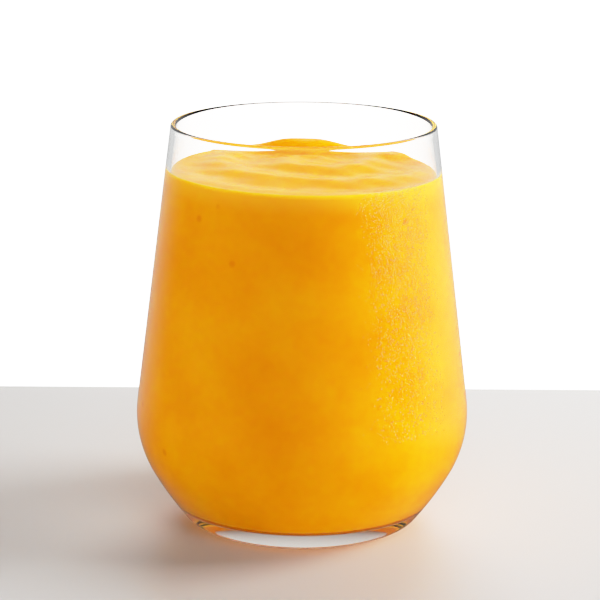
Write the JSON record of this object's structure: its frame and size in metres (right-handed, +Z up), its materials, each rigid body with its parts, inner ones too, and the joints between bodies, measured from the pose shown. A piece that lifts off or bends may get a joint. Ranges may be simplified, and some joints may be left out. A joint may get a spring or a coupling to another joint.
{
  "type": "mango smoothie in a stemless glass tumbler",
  "caption": "Thick mango smoothie with a swirled top, filling a stemless round-bellied glass tumbler to just under its lip; it stands on its heavy base.",
  "frame": {"origin": "on the glass's axis, in the plane that its foot stands on", "axes": "+Z up along the glass's axis, -Y towards the viewer, +X to the viewer's right; the drink's mound is at the back, +Y"},
  "size_m": [0.0914, 0.0914, 0.11],
  "materials": {
    "clear_glass": "clear colourless soda-lime glass, fire-polished lip, thick clear base, fine condensation on one side",
    "mango_puree": "wet, smooth, opaque golden-orange fruit puree with a soft gloss"
  },
  "bodies": {
    "root": {"glass": "clear_glass", "smoothie": "mango_puree"}
  },
  "joints": []
}
